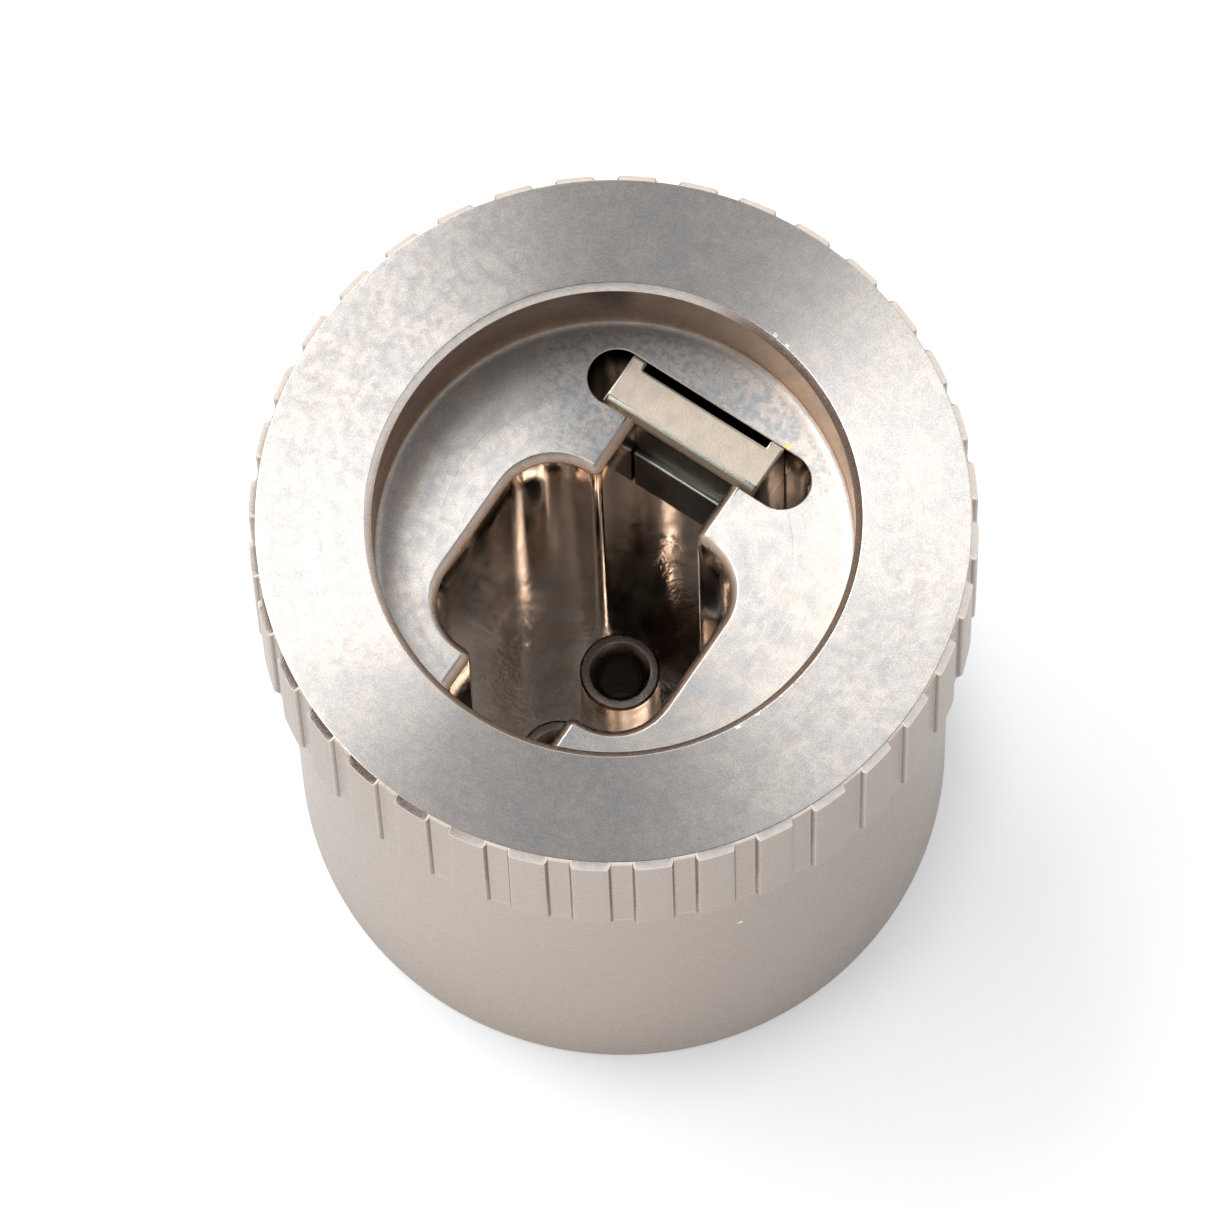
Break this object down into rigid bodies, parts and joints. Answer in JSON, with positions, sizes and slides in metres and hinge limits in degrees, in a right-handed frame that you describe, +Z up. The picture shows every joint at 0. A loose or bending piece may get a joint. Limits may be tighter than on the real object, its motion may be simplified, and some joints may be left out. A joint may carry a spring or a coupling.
{
  "type": "fibre plug adapter",
  "caption": "Short turned metal adapter with a grooved grip flange, a round recess with a milled duplex plug port, a latch block and ferrule sleeves, and a threaded rear socket.",
  "frame": {"origin": "centre of the rear rim that the adapter stands on", "axes": "+Z up along the turning axis to the plug port, +Y towards the latch block, +X across the port"},
  "size_m": [0.02, 0.02, 0.0214],
  "materials": {
    "plated_body": "turned and milled, nickel bright",
    "satin_block": "fine matte blast",
    "sleeve_metal": "fine turned"
  },
  "bodies": {
    "root": {"adapter_body": "plated_body", "latch_block": "satin_block", "axis_ferrule_sleeve": "sleeve_metal", "offset_ferrule_sleeve": "sleeve_metal"}
  },
  "joints": []
}
